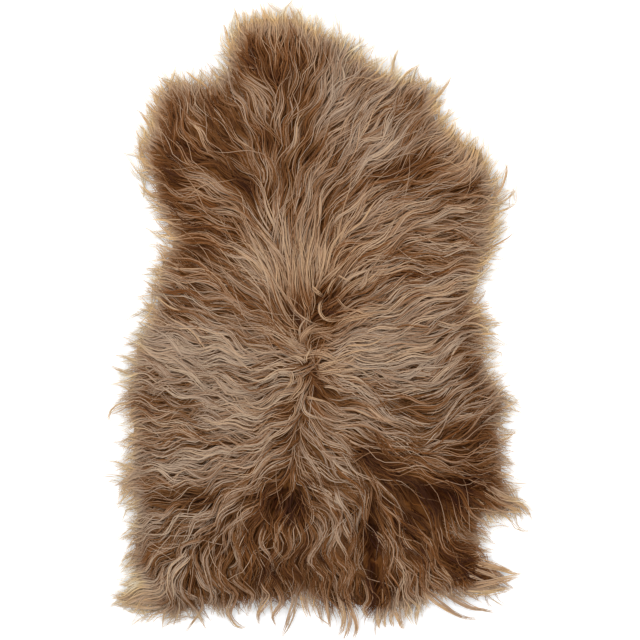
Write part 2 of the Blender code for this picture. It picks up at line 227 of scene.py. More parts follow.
# Single wisps that hang past the rim: their places from root to tip, and how many hairs
rimWisps = [
    (((-143, 443), (-146, 456), (-151, 469)), 3),
    (((-127, 469), (-131, 485), (-138, 501)), 3),
    (((-114, 472), (-118, 486), (-123, 498)), 2),
    (((-86, 482), (-91, 494), (-96, 504)), 2),
    (((-35, 475), (-40, 488), (-45, 499)), 2),
    (((-23, 472), (-29, 486), (-38, 499)), 2),
    (((120, 389), (123, 405), (128, 421), (139, 435)), 5),
    (((133, 376), (146, 389), (157, 397), (173, 408)), 4),
    (((171, 366), (181, 376), (184, 384)), 3),
    (((178, 338), (192, 350), (203, 363), (210, 374), (216, 387)), 7),
    (((213, 296), (219, 302), (222, 310)), 2),
    (((296, 206), (301, 222), (304, 235), (302, 248)), 3),
    (((290, 178), (304, 186), (314, 195), (318, 205)), 3),
    (((290, 165), (306, 171), (326, 184)), 3),
    (((290, 114), (307, 123), (323, 136)), 3),
    (((258, 62), (270, 72), (280, 85)), 2),
    (((254, 18), (266, 32), (272, 48)), 2),
    (((267, -30), (283, -30), (298, -35)), 2),
    (((270, -43), (285, -45), (298, -53)), 2),
    (((270, -59), (286, -58), (296, -62), (296, -72)), 2),
    (((293, -286), (314, -298), (331, -307), (341, -320), (347, -336)), 8),
    (((286, -296), (309, -309), (326, -314), (339, -325)), 6),
    (((277, -402), (301, -410), (318, -416), (333, -416)), 6),
    (((274, -414), (293, -424), (306, -434), (317, -440)), 5),
    (((261, -421), (283, -432), (302, -443)), 4),
    (((181, -453), (197, -466), (216, -477), (242, -488), (267, -490)), 4),
    (((216, -453), (235, -466), (256, -472), (285, -475)), 4),
    (((160, -461), (162, -480), (160, -501)), 3),
    (((126, -472), (133, -488), (141, -504)), 3),
    (((109, -475), (99, -491), (98, -507)), 3),
    (((51, -462), (61, -485), (64, -504), (59, -520)), 4),
    (((42, -466), (45, -488), (42, -504), (30, -520)), 4),
    (((16, -462), (21, -491), (21, -517)), 3),
    (((-26, -453), (-21, -472), (-11, -491)), 3),
    (((-34, -459), (-38, -482), (-45, -501), (-56, -520)), 4),
    (((-74, -459), (-72, -482), (-66, -504)), 3),
    (((-88, -456), (-94, -475), (-96, -488), (-93, -501)), 2),
    (((-143, -472), (-138, -488), (-130, -499), (-118, -502), (-109, -496)), 3),
    (((-184, -469), (-194, -485), (-205, -499), (-218, -518)), 4),
    (((-221, -475), (-226, -488), (-231, -501)), 2),
    (((-245, -478), (-248, -494), (-248, -510)), 2),
    (((-267, -459), (-290, -458), (-314, -454), (-338, -446)), 6),
    (((-270, -469), (-293, -467), (-317, -466), (-343, -461)), 5),
    (((-283, -453), (-303, -462), (-322, -469)), 3),
    (((-290, -251), (-303, -262), (-317, -272), (-333, -278)), 5),
    (((-293, -261), (-307, -270), (-322, -278)), 3),
    (((-309, -142), (-322, -146), (-331, -155), (-335, -166), (-330, -176)), 3),
    (((-306, -91), (-320, -86), (-336, -80)), 3),
    (((-293, -72), (-312, -67), (-331, -64)), 3),
    (((-283, -34), (-294, -29), (-306, -24)), 2),
    (((-274, -21), (-285, -14), (-296, -10)), 2),
    (((-267, -11), (-277, -6), (-286, -3)), 2),
    (((-258, 8), (-269, 11), (-278, 16)), 2),
    (((-258, 34), (-269, 37), (-282, 42)), 2),
    (((-251, 50), (-261, 54), (-270, 59)), 2),
    (((-250, 66), (-262, 70), (-277, 77)), 2),
    (((-242, 85), (-253, 90), (-264, 96)), 2),
    (((-239, 107), (-251, 112), (-264, 120)), 2),
    (((-226, 123), (-242, 136), (-256, 150), (-267, 168)), 3),
    (((-254, 178), (-264, 184), (-272, 192)), 2),
    (((-269, 197), (-278, 203), (-288, 213)), 2),
    (((-275, 219), (-285, 226), (-291, 235)), 2),
    (((-280, 248), (-288, 254), (-294, 264)), 2),
    (((-278, 280), (-286, 286), (-291, 296)), 2),
    (((-274, 312), (-280, 320), (-285, 328)), 2),
    (((-266, 331), (-272, 336), (-277, 344)), 2),
    (((-258, 350), (-266, 358), (-272, 366)), 2),
    (((-239, 370), (-247, 376), (-251, 384)), 2),
    (((-179, 366), (-194, 376), (-205, 386), (-216, 394)), 3),
    (((-149, 376), (-162, 382), (-170, 392), (-162, 397), (-154, 392)), 2),
]

# Curls and crossing locks about the parting: places, how many hairs, and their tone
curls = [
    (((-10, 46), (0, 38), (11, 29)), 5, 0.32),
    (((-10, 42), (-2, 34), (10, 27)), 3, 0.25),
    (((30, 61), (38, 58), (46, 54), (56, 48)), 4, 0.35),
    (((34, 61), (24, 50), (19, 38), (19, 32)), 4, 0.1),
    (((56, 48), (64, 40), (75, 50), (78, 64), (93, 83), (117, 94)), 7, 0.2),
    (((27, 35), (34, 24), (43, 13), (56, 8), (72, 8)), 4, 0.2),
    (((10, 26), (5, 14), (6, 3), (14, -6), (29, -8), (45, -3)), 6, 0.3),
    (((21, 22), (32, 29), (38, 22), (35, 11)), 4, -0.2),
    (((32, 5), (48, 10), (64, 21), (88, 29), (120, 43)), 7, 0.1),
    (((26, -26), (40, -10), (62, -3), (91, 2), (120, 8)), 8, 0.15),
    (((-23, -46), (-27, -24), (-19, -8), (-11, -2)), 5, 0.15),
    (((-24, -51), (-26, -37), (-16, -24), (-2, -16), (14, -16)), 6, 0.2),
    (((-19, -53), (-21, -37), (-11, -26), (5, -22), (24, -19)), 6, 0.12),
    (((-46, 29), (-38, 10), (-26, -2), (-11, -11), (6, -18)), 6, 0.1),
    (((-43, 51), (-45, 29), (-35, 8), (-23, -6)), 5, 0.05),
    (((-10, 5), (-18, 16), (-23, 29), (-21, 43)), 4, 0.05),
    (((-27, -48), (-34, -40), (-40, -29), (-45, -16)), 5, 0.12),
    (((-18, -78), (-18, -67), (-11, -54), (-8, -43)), 4, 0.4),
    (((-18, -82), (-23, -72), (-31, -67), (-40, -67), (-50, -74)), 6, 0.25),
    (((-42, -82), (-58, -78), (-75, -82), (-91, -88)), 6, 0.15),
    (((-34, -75), (-53, -69), (-70, -61), (-91, -56)), 6, 0.15),
    (((-62, -85), (-61, -93), (-66, -101), (-72, -107)), 4, 0.15),
    (((-46, -88), (-40, -94), (-40, -106), (-48, -117), (-58, -133)), 6, 0.2),
    (((-34, -90), (-29, -98), (-27, -109), (-35, -118), (-43, -130)), 6, 0.15),
    (((-24, -91), (-24, -102), (-29, -115), (-43, -130), (-59, -139)), 6, 0.15),
    (((-19, -98), (-23, -114), (-31, -123), (-42, -134), (-54, -142)), 6, 0.25),
    (((-21, -128), (-23, -141), (-18, -154), (-5, -160), (10, -165), (29, -181)), 6, 0.25),
    (((-7, -82), (5, -83), (14, -78), (26, -75), (45, -69), (72, -62)), 8, 0.2),
    (((-7, -88), (8, -91), (26, -88), (46, -86), (66, -91)), 8, 0.15),
    (((-3, -96), (11, -99), (22, -107), (32, -117)), 6, 0.1),
    (((8, -115), (19, -114), (30, -118), (38, -131)), 5, 0.25),
    (((-21, -133), (-11, -131), (2, -134), (16, -139), (29, -150)), 5, 0.1),
    (((-15, -117), (-21, -130), (-27, -147), (-40, -160)), 5, 0.0),
    (((-37, -138), (-35, -152), (-42, -163), (-48, -171)), 4, 0.15),
    (((-66, -118), (-72, -131), (-88, -142), (-107, -149)), 6, 0.15),
    (((-78, -125), (-86, -134), (-104, -139), (-123, -141)), 5, 0.1),
]

# Wavy locks of the rump, which end past the rim: places, how many hairs, and their tone
locks = [
    (((-219, -386), (-231, -410), (-248, -421), (-258, -435), (-261, -458)), 7, 0.1),
    (((-194, -379), (-187, -406), (-178, -424), (-165, -437), (-170, -456), (-181, -470)), 9, 0.12),
    (((-216, -402), (-219, -429), (-205, -443), (-191, -451), (-194, -469)), 8, 0.1),
    (((-154, -379), (-152, -408), (-143, -427), (-130, -442), (-135, -459), (-141, -477), (-130, -494),
      (-114, -501)), 9, 0.0),
    (((-135, -386), (-128, -413), (-114, -430), (-101, -445), (-106, -462), (-112, -488)), 9, 0.0),
    (((-94, -402), (-83, -429), (-74, -446), (-85, -464), (-94, -480), (-93, -501)), 7, 0.0),
    (((-74, -408), (-59, -435), (-54, -459), (-66, -477), (-70, -486), (-64, -501)), 7, 0.0),
    (((-53, -402), (-38, -429), (-34, -456), (-42, -480), (-48, -501), (-56, -517)), 8, -0.05),
    (((-37, -402), (-27, -435), (-21, -459), (-10, -490)), 5, 0.0),
    (((5, -408), (11, -443), (16, -474), (22, -506)), 6, 0.05),
    (((18, -402), (30, -435), (37, -466), (42, -490), (34, -514)), 8, 0.1),
    (((40, -402), (48, -437), (53, -466), (61, -488), (62, -507), (56, -520)), 8, 0.05),
    (((48, -462), (53, -488), (48, -507), (42, -520)), 4, 0.0),
    (((66, -395), (80, -429), (83, -451), (75, -467), (80, -482), (93, -480)), 6, 0.0),
    (((101, -461), (98, -486), (101, -504)), 5, 0.2),
    (((112, -461), (107, -486), (110, -504)), 5, 0.2),
    (((120, -464), (118, -486), (122, -502)), 4, 0.2),
    (((126, -467), (133, -490), (139, -504)), 5, 0.2),
    (((141, -406), (130, -427), (126, -451), (130, -472)), 6, 0.12),
    (((144, -418), (139, -443), (142, -467), (136, -490)), 6, 0.1),
    (((155, -414), (155, -442), (162, -461), (158, -483), (160, -502)), 6, 0.1),
    (((160, -411), (171, -424), (171, -442), (179, -462)), 6, 0.12),
    (((190, -389), (202, -405), (214, -421)), 3, 0.2),
    (((165, -424), (187, -450), (210, -469), (232, -483), (267, -488)), 4, 0.0),
    (((197, -437), (222, -454), (246, -467), (267, -472), (286, -475)), 5, 0.05),
    (((242, -434), (269, -429), (296, -424), (323, -418)), 8, 0.2),
    (((232, -443), (254, -443), (282, -442), (315, -437)), 8, 0.2),
    (((251, -392), (272, -398), (296, -406), (314, -413)), 6, 0.1),
    (((-27, -294), (-11, -301), (-7, -322), (-24, -344), (-38, -365)), 3, 0.12),
    (((-35, -307), (-48, -323), (-62, -344), (-66, -365), (-53, -382), (-42, -400)), 3, 0.12),
    (((10, -312), (6, -347), (-5, -368), (-13, -389), (2, -410), (16, -432)), 6, 0.15),
    (((5, -296), (27, -315), (30, -344), (16, -373), (27, -398), (48, -421)), 8, 0.18),
    (((21, -277), (53, -274), (77, -283), (70, -307), (62, -334), (69, -357)), 5, 0.18),
    (((27, -301), (45, -338), (59, -362), (69, -384)), 5, 0.15),
    (((-98, -318), (-120, -347), (-127, -371), (-117, -395), (-107, -416)), 5, 0.1),
    (((-123, -318), (-155, -344), (-163, -365), (-157, -392)), 4, 0.1),
    (((-75, -322), (-86, -344), (-86, -362), (-74, -379), (-69, -398), (-77, -413)), 4, 0.1),
    (((-19, -264), (14, -280), (30, -296)), 5, 0.3),
    (((-143, -402), (-127, -392), (-118, -373), (-110, -357)), 4, 0.1),
    (((43, -440), (51, -411), (66, -392), (82, -370)), 3, 0.1),
    (((83, -344), (102, -354), (109, -379), (102, -402)), 4, 0.1),
    (((130, -328), (136, -354), (152, -373), (171, -386)), 4, 0.1),
]


def noiseField(seed, size, count=32):  # smooth hills about size across, mostly between -1 and 1
    rng = np.random.default_rng(seed)
    turn = rng.uniform(0, 2 * np.pi, count)
    pitch = 2 * np.pi / size * rng.uniform(0.6, 1.5, count)
    kx, ky = np.cos(turn) * pitch, np.sin(turn) * pitch
    phase = rng.uniform(0, 2 * np.pi, count)

    def at(xy):
        return np.cos(xy[..., :1] * kx + xy[..., 1:2] * ky + phase).sum(-1) * (2 / count) ** 0.5

    return at


def smooth(x):
    x = np.clip(x, 0, 1)
    return x * x * (3 - 2 * x)


def ramp(x, start, span):  # 0 up to start, 1 past start + span
    return smooth((x - start) / span)


def unit(v):
    return v / np.maximum(np.linalg.norm(v, axis=-1, keepdims=True), 1e-9)


def turned(v, angle):
    c, s = np.cos(angle), np.sin(angle)
    return np.stack([v[..., 0] * c - v[..., 1] * s, v[..., 0] * s + v[..., 1] * c], -1)


def curved(a, b, c, d, t):  # the smooth curve from b to c, which comes from a and goes on to d
    bend = (2 * a - 5 * b + 4 * c - d) * t ** 2
    return 0.5 * (2 * b + (c - a) * t + bend + (3 * b - a - 3 * c + d) * t ** 3)


def closedCurve(rows, count, between=16):  # count rows, evenly spaced along the smooth curve through rows
    rows = np.array(rows, float)
    t = (np.arange(between) / between)[:, None]
    dense = []
    for i in range(len(rows)):
        dense.append(curved(*(rows[(i + k) % len(rows)] for k in (-1, 0, 1, 2)), t))
    dense = np.concatenate(dense)
    ring = np.concatenate([dense, dense[:1]])
    length = np.r_[0, np.cumsum(np.linalg.norm(np.diff(ring[:, :2], axis=0), axis=1))]
    wanted = length[-1] * np.arange(count) / count
    return np.stack([np.interp(wanted, length, column) for column in ring.T], 1)


# Fields over the floor: each is worked out once on a grid and read between its points

cell = 4.0  # between the grid's points
margin = 100  # of the grid past the solid
gridLow = np.array(cadLow[:2]) / mm - margin
gridHigh = np.array(cadHigh[:2]) / mm + margin
gridX, gridY = (np.arange(low, high, cell) for low, high in zip(gridLow, gridHigh))
gridXY = np.stack(np.meshgrid(gridX, gridY, indexing="ij"), -1)
rimCurve = closedCurve(rim, 720)
edgeCurve = closedCurve(woolEdge, 900)


def field(values):  # a function of place from the values at the grid's points
    last = np.array(values.shape[:2]) - 1.001  # just before the last row, so that one more is there

    def at(xy):
        place = ((xy - gridLow) / cell).clip(0, last)
        low = place.astype(int)
        share = place - low
        i, j = low[..., 0], low[..., 1]
        fx, fy = share[..., 0], share[..., 1]
        if values.ndim == 3:
            fx, fy = fx[..., None], fy[..., None]
        near = values[i, j] * (1 - fx) + values[i + 1, j] * fx
        far = values[i, j + 1] * (1 - fx) + values[i + 1, j + 1] * fx
        return near * (1 - fy) + far * fy

    return at


def byParts(work, xy, most=4000):  # runs work on that many places at a time
    flat = xy.reshape(-1, 2)
    made = np.concatenate([work(flat[k:k + most]) for k in range(0, len(flat), most)])
    return made.reshape(*xy.shape[:-1], *made.shape[1:])


def past(curve):  # the distance past a closed curve, negative inside it
    a = curve[:, :2]
    b = np.roll(a, -1, 0)
    rise = np.where(b[:, 1] == a[:, 1], 1e-9, b[:, 1] - a[:, 1])

    def at(xy):
        x, y = xy[:, None, 0], xy[:, None, 1]
        crossing = x < a[:, 0] + (b[:, 0] - a[:, 0]) / rise * (y - a[:, 1])
        crossings = (((a[:, 1] > y) != (b[:, 1] > y)) & crossing).sum(-1)  # of a ray to +X
        away = np.sqrt(((xy[:, None] - a) ** 2).sum(-1).min(1))
        return np.where(crossings % 2 == 1, -away, away)

    return at


def onParting(xy):  # the nearest places on the parting
    ends = np.array(parting, float)
    best, nearest = np.full(len(xy), np.inf), np.zeros(xy.shape)
    for a, b in zip(ends, ends[1:]):
        t = np.clip(((xy - a) @ (b - a)) / ((b - a) @ (b - a)), 0, 1)[:, None]
        away = np.linalg.norm(xy - a - t * (b - a), axis=-1)
        nearest = np.where((away < best)[:, None], a + t * (b - a), nearest)
        best = np.minimum(best, away)
    return nearest


def fromParting(xy):
    return np.linalg.norm(xy - onParting(xy), axis=-1)


def blended(rows, reach):  # the rows' values, blended by nearness
    rows = np.array(rows, float)

    def at(xy):
        d2 = ((xy[:, None] - rows[:, :2]) ** 2).sum(-1)
        weight = np.exp(-d2 / (2 * reach ** 2)) + 1e-6 / (1 + d2 / reach ** 2) ** 2
        return weight @ rows[:, 2:] / weight.sum(1, keepdims=True)

    return at


def summed(rows):  # the rows' patches, each fading outward
    def at(xy):
        total = np.zeros(len(xy))
        for x, y, length, width, turn, effect in rows:
            away = turned(xy - (x, y), -math.radians(turn))
            total += effect * np.exp(-((away / (length, width)) ** 2).sum(-1) * patchFade)
        return total

    return at


def softened(values, reach, cells=5):
    steps = np.arange(-cells, cells + 1) * cell
    bell = np.exp(-(steps / reach) ** 2 / 2)
    bell /= bell.sum()
    for axis in (0, 1):
        values = np.apply_along_axis(lambda line: np.convolve(line, bell, "same"), axis, values)
    return values


fall = {  # how the wool drops to the floor past the skin's rim
    "rim": 17.0,  # the least height at the rim
    "floor": 3.0,  # the height far out
    "over": 26.0,
    "soften": 8.0,
}


def woolHeights(away):  # the combed wool's surface, read off the solid
    tree = BVHTree.FromObject(skin, bpy.context.evaluated_depsgraph_get())
    values = fall["floor"] + (fall["rim"] - fall["floor"]) * np.exp(-np.maximum(away, 0) / fall["over"])
    for i, j in zip(*np.nonzero(away < 0)):
        hit = tree.ray_cast(Vector((gridX[i] * mm, gridY[j] * mm, 1.0)), Vector((0, 0, -1)))[0]
        if hit:
            values[i, j] = max(hit.z / mm, values[i, j])
    return softened(values, fall["soften"])


print("reading the skin")
rimGrid = byParts(past(rimCurve), gridXY)
pastRim = field(rimGrid)
pastEdge = field(byParts(past(edgeCurve), gridXY))
partAway = field(byParts(fromParting, gridXY))
combRows = [(x, y, math.cos(math.radians(a)), math.sin(math.radians(a))) for x, y, a in comb]
combGrid = byParts(blended(combRows, combReach), gridXY)
combed = field(combGrid)
waveHere = field(byParts(blended(waves, waveReach), gridXY))
patchHere = field(byParts(summed(patches), gridXY))
warmHere = field(byParts(summed(warmPatches), gridXY))
woolHeight = field(woolHeights(rimGrid))


darkTells, paleTells = 0.92, 0.6  # how much of a patch a hair's tone takes up
lumps = {
    "height": 2.6,
    "hollow": 16,  # at a patch of tone -1
    "full": 32, "over": 40,  # how far inside the rim both are full, and over what span they set in
}


def shading(xy):  # how much darker or paler the wool is here: its own tone, with painted shade and painted light
    patch = patchHere(xy)
    return np.where(patch < 0, darkTells, paleTells) * patch


phaseField = noiseField(11, 90)
leanField = noiseField(12, 60)
lumpField = noiseField(13, 50)
toneField = noiseField(14, 44)
fineTone = noiseField(15, 17)
warmField = noiseField(16, 55)


def surface(xy):  # the wool's surface with its lumps, and with the hollows at the dark patches
    inside = ramp(-pastRim(xy), lumps["full"] - lumps["over"], lumps["over"])
    hollow = lumps["hollow"] * np.minimum(patchHere(xy), 0)
    return woolHeight(xy) + (lumps["height"] * lumpField(xy) + hollow) * inside


# Node groups and materials

def newGroup(name, inputs, outputs):
    group = bpy.data.node_groups.new(name, "ShaderNodeTree")
    for label, kind, value in inputs:
        socket = group.interface.new_socket(label, in_out="INPUT", socket_type=kind)
        socket.default_value = value
    for label, kind in outputs:
        group.interface.new_socket(label, in_out="OUTPUT", socket_type=kind)
    start, end = group.nodes.new("NodeGroupInput"), group.nodes.new("NodeGroupOutput")
    start.location, end.location = (-900, 0), (600, 0)
    return group, start, end


def addNode(tree, kind, **settings):
    node = tree.nodes.new(kind)
    for label, value in settings.items():
        setattr(node, label, value)
    return node


def linear(r, g, b):  # a colour as a screen shows it, 0 to 255, in the numbers that a shader takes
    return tuple(((c / 255) / 12.92 if c < 10.4 else ((c / 255 + 0.055) / 1.055) ** 2.4)
                 for c in (r, g, b)) + (1.0,)


woolColours = {
    "Deep": (0.0, linear(52, 22, 5)),
    "Brown": (0.4, linear(117, 73, 35)),
    "Fawn": (0.8, linear(173, 144, 119)),
    "Pale": (1.0, linear(192, 160, 127)),
    "Gold": (1.2, linear(205, 171, 123)),
    "Cream": (1.5, linear(246, 229, 200)),
}
warmTint = (1.04, 0.972, 0.87, 1.0)  # what the warmer hairs' colour is multiplied by
greyTint = (0.955, 1.025, 1.11, 1.0)  # and the greyer hairs'
rootShadeReach = 0.4  # how far along a hair the painted shade at its root reaches, where the hair sinks into the coat


def makeHairColour():  # a hair's colour from its tone, the way along it and its warmth, with painted shade darkening its root
    number, colour = "NodeSocketFloat", "NodeSocketColor"
    inputs = [("Tone", number, 0.5), ("Along", number, 0.5), ("Root Shade", number, 0.3)]
    inputs += [("Warmth", number, 0.0), ("Warm Tint", colour, warmTint), ("Grey Tint", colour, greyTint)]
    inputs += [(label, colour, value) for label, (_, value) in woolColours.items()]
    group, start, end = newGroup("hairColour", inputs, [("Color", colour)])
    links = group.links
    # painted shade: the tone drops toward the root, where the hair lies deep in the coat
    drop = addNode(group, "ShaderNodeMapRange", interpolation_type="SMOOTHSTEP")
    drop.inputs["From Max"].default_value = rootShadeReach
    drop.inputs["To Max"].default_value = 0.0
    links.new(start.outputs["Along"], drop.inputs["Value"])
    links.new(start.outputs["Root Shade"], drop.inputs["To Min"])
    tone = addNode(group, "ShaderNodeMath", operation="SUBTRACT")
    links.new(start.outputs["Tone"], tone.inputs[0])
    links.new(drop.outputs["Result"], tone.inputs[1])
    labels = list(woolColours)
    before = start.outputs[labels[0]]
    for low, high in zip(labels, labels[1:]):
        step = addNode(group, "ShaderNodeMapRange")
        step.inputs["From Min"].default_value = woolColours[low][0]
        step.inputs["From Max"].default_value = woolColours[high][0]
        links.new(tone.outputs["Value"], step.inputs["Value"])
        mix = addNode(group, "ShaderNodeMix", data_type="RGBA")
        links.new(step.outputs["Result"], mix.inputs["Factor"])
        links.new(before, mix.inputs["A"])
        links.new(start.outputs[high], mix.inputs["B"])
        before = mix.outputs["Result"]
    for label, way in (("Warm Tint", 1.0), ("Grey Tint", -1.0)):
        share = addNode(group, "ShaderNodeMath", operation="MULTIPLY", use_clamp=True)
        share.inputs[1].default_value = way
        links.new(start.outputs["Warmth"], share.inputs[0])
        tinted = addNode(group, "ShaderNodeMix", data_type="RGBA", blend_type="MULTIPLY")
        links.new(share.outputs["Value"], tinted.inputs["Factor"])
        links.new(before, tinted.inputs["A"])
        links.new(start.outputs[label], tinted.inputs["B"])
        before = tinted.outputs["Result"]
    links.new(before, end.inputs["Color"])
    return group


hairColour = makeHairColour()


def newMaterial(name, roughness, specular, sheen=0.0, sheenTint=(1, 1, 1, 1)):
    material = bpy.data.materials.new(name)
    material.use_nodes = True
    shader = material.node_tree.nodes["Principled BSDF"]
    shader.inputs["Roughness"].default_value = roughness
    shader.inputs["Specular IOR Level"].default_value = specular
    shader.inputs["Sheen Weight"].default_value = sheen
    shader.inputs["Sheen Tint"].default_value = sheenTint
    return material, material.node_tree, shader


def woolMaterial(name, rootShade, roughness=0.6, specular=0.1):
    material, tree, shader = newMaterial(name, roughness, specular)
    colour = addNode(tree, "ShaderNodeGroup", node_tree=hairColour)
    for label in ("tone", "along", "warmth"):
        read = addNode(tree, "ShaderNodeAttribute", attribute_name=label)
        tree.links.new(read.outputs["Fac"], colour.inputs[label.capitalize()])
    colour.inputs["Root Shade"].default_value = rootShade
    tree.links.new(colour.outputs["Color"], shader.inputs["Base Color"])
    return material


def keepOn(mesh, **values):  # numbers that the materials read at each point of the mesh
    for label, value in values.items():
        mesh.attributes.new(label, "FLOAT", "POINT").data.foreach_set("value", value.astype(np.float32))


def addPiece(name, mesh, material):
    piece = bpy.data.objects.new(name, mesh)
    bpy.context.scene.collection.objects.link(piece)
    mesh.materials.append(material)
    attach(piece, "root")
    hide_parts("sheepskin")
    return piece


# Hairs: each is a slim closed three-sided blade along a row of points

softness = 0.5  # how far a hair is lit like the fleece around it, not like a round thread
sideShade = 0.15  # how much browner its two sides are than its middle: painted shade, as on a round thread's sides
flatness = 0.5  # its height as a share of its width
clear = 0.1  # how far every hair stays off the floor
darkest, palest = 0.02, 1.55  # the tones that a hair may have
warmSteps = (-0.45, 0.45)  # a hair is greyer below the first and warmer above the second
warmSeed, warmByPlace, warmByHair = 6, 0.35, 0.4
warmDraw = np.random.default_rng(warmSeed)
bake = {"tones": 1.6, "wide": 0.0012, "margin": 0.02}  # how the hairs' tones fill the map


def bladeMesh(name, hair):
    centre, width, roll, tone, along = (hair[key] for key in ("centre", "width", "roll", "tone", "along"))
    hairs, points = width.shape
    tangent = unit(np.gradient(centre, axis=1))
    side = unit(np.cross(np.array([0, 0, 1.0]), tangent))
    up = np.cross(tangent, side)
    c, s = np.cos(roll)[:, None, None], np.sin(roll)[:, None, None]
    side, up = side * c + up * s, up * c - side * s
    half = (width / 2)[..., None]
    corners = np.stack([centre + side * half, centre + up * half * flatness, centre - side * half], 2)
    facing = np.stack([up + side, up, up - side], 2)
    facing = unit(unit(facing) * (1 - softness) + (0, 0, softness))
    corners[..., 2] = np.maximum(corners[..., 2], clear)
    index = np.arange(hairs * points * 3).reshape(hairs, points, 3)
    ahead = np.roll(index, -1, 2)
    quads = np.stack([index[:, :-1], ahead[:, :-1], ahead[:, 1:], index[:, 1:]], -1).reshape(-1, 4)
    faces = quads.tolist() + index[:, 0, ::-1].tolist() + index[:, -1].tolist()
    mesh = bpy.data.meshes.new(name)
    mesh.from_pydata((corners.reshape(-1, 3) * mm).tolist(), [], faces)
    mesh.polygons.foreach_set("use_smooth", np.ones(len(faces), bool))
    # painted shade: the hair's two sides get a browner tone than its middle
    tone = np.clip(tone, darkest, palest).reshape(-1, 1) - (sideShade, 0, sideShade)
    tone = np.maximum(tone, darkest).reshape(-1)
    along = np.repeat(along.reshape(-1), 3)
    at = centre[:, points // 2, :2]
    warmth = warmHere(at) + warmByPlace * warmField(at) + warmDraw.normal(0, warmByHair, hairs)
    warmth = np.repeat(np.digitize(warmth, warmSteps) - 1.0, points * 3)
    keepOn(mesh, tone=tone, along=along, warmth=warmth)
    # A hair's place on the map is its tone and the way along it, a little wide so that it holds colour.
    # The greyer, plain and warmer hairs have a third of the map each.
    u = tone / bake["tones"] + np.tile([-bake["wide"], 0.0, bake["wide"]], hairs * points)
    v = (warmth + 1 + bake["margin"] + (1 - 2 * bake["margin"]) * along) / 3
    corner = np.empty(len(mesh.loops), int)
    mesh.loops.foreach_get("vertex_index", corner)
    layer = mesh.uv_layers.new(name="OFBake")
    layer.data.foreach_set("uv", np.stack([u[corner], v[corner]], 1).astype(np.float32).reshape(-1))
    mesh.update()
    mesh.normals_split_custom_set_from_vertices(facing.reshape(-1, 3))
    triangles = hairs * ((points - 1) * 6 + 2)
    print(name, hairs, "hairs,", triangles, "triangles")
    return mesh


def sampled(path, t):  # the points at shares t (hairs, points) of each path (hairs, steps, n)
    place = np.clip(t, 0, 1) * (path.shape[1] - 1)
    low = np.minimum(place.astype(int), path.shape[1] - 2)
    share = (place - low)[..., None]
    rows = np.arange(len(path))[:, None]
    return path[rows, low] * (1 - share) + path[rows, low + 1] * share


stroke = {
    "steady": 0.45,  # how far a wisp keeps its heading at each step
    "follow": 0.1,  # it keeps all of it where the comb turns further, as over the parting
    "rootSteps": 10, "tipSteps": 14,
    "least": 0.2,  # what is left of a wisp that the wool's edge cuts short
    "sizes": (0.7, 1.4),  # of its wave, as shares of the swing in the table
    "wavy": 0.3,  # where along it the wave is full
    "drift": 1.2, "shift": 0.3,  # of the wave's phase, by place and by wisp
}
rumpCalm = {"below": -240, "over": 80, "share": 0.55}  # where the locks lie more alike, and how much


def walk(start, lean, length, steps, way):  # follows the comb tipward (1) or rootward (-1)
    at, path = start, [start]
    steady = stroke["steady"]
    heading = unit(turned(combed(start), lean)) * way
    for _ in range(steps):
        ahead = unit(turned(combed(at), lean)) * way
        against = (ahead * heading).sum(-1, keepdims=True) < stroke["follow"]
        heading = unit(heading * steady + np.where(against, heading, ahead) * (1 - steady))
        at = at + heading * (length / steps)[:, None]
        path.append(at)
    return path


def calm(xy):  # how much of the chance in the wisps' lie is left
    return 1 - rumpCalm["share"] * ramp(-xy[:, 1], -rumpCalm["below"], rumpCalm["over"])


def strokes(style, middle, rng, lie=1.0):  # paths through the middles, root to tip
    count = len(middle)
    length = style["length"] * rng.uniform(*style["lengths"], count)
    lean = np.radians(leanField(middle) * style["lean"] + rng.normal(0, style["ownLean"], count)) * lie
    tipPast = rng.uniform(*style["tipPast"], count)
    back = walk(middle, lean, length * style["rootShare"], stroke["rootSteps"], -1)
    ahead = walk(middle, lean, length * (1 - style["rootShare"]), stroke["tipSteps"], 1)
    path = np.stack(back[:0:-1] + ahead, 1)
    steps = path.shape[1] - 1
    beyond = pastEdge(path) > tipPast[:, None]
    beyond[:, :3] = False
    first = np.where(beyond.any(1), beyond.argmax(1), steps)
    keep = np.maximum(first / steps, stroke["least"])
    t = np.linspace(0, 1, steps + 1)[None] * keep[:, None]
    path = sampled(path, t)
    swing, pitch = np.moveaxis(waveHere(middle), -1, 0)
    tangent = unit(np.gradient(path, axis=1))
    side = turned(tangent, np.pi / 2)
    phase = partAway(path) / pitch[:, None] * 2 * np.pi
    own = phaseField(middle) * stroke["drift"] + rng.normal(0, stroke["shift"], count) * calm(middle)
    size = swing * rng.uniform(*stroke["sizes"], count)
    wave = size[:, None] * smooth(t / stroke["wavy"]) * np.sin(phase + own[:, None])
    return path + side * wave[..., None]


def places(spacing, rng, within, jitter=0.45):  # a shaken lattice of places within the wool's edge
    low, high = edgeCurve.min(0), edgeCurve.max(0)
    xs = np.arange(low[0], high[0], spacing)
    ys = np.arange(low[1], high[1], spacing * 0.866)  # rows of equal triangles
    x, y = np.meshgrid(xs, ys)
    x = x + (np.arange(len(ys)) % 2 * spacing / 2)[:, None]
    xy = np.stack([x, y], -1).reshape(-1, 2) + rng.uniform(-jitter, jitter, (x.size, 2)) * spacing
    return xy[pastEdge(xy) < -within]


rimTones = {
    "most": 0.98,  # the palest inside the rim
    "from": -38, "over": 32,  # where the rim's own tone sets in
    "tan": 0.82,
    "cream": 0.5, "creamFrom": -22, "creamOver": 30,  # how much paler it turns at the edge, and where
    "own": 0.85, "middle": 0.6,  # how far the wool's tone still tells there, and about what tone
    "neckPaler": 0.14, "rumpDarker": 0.18,
}


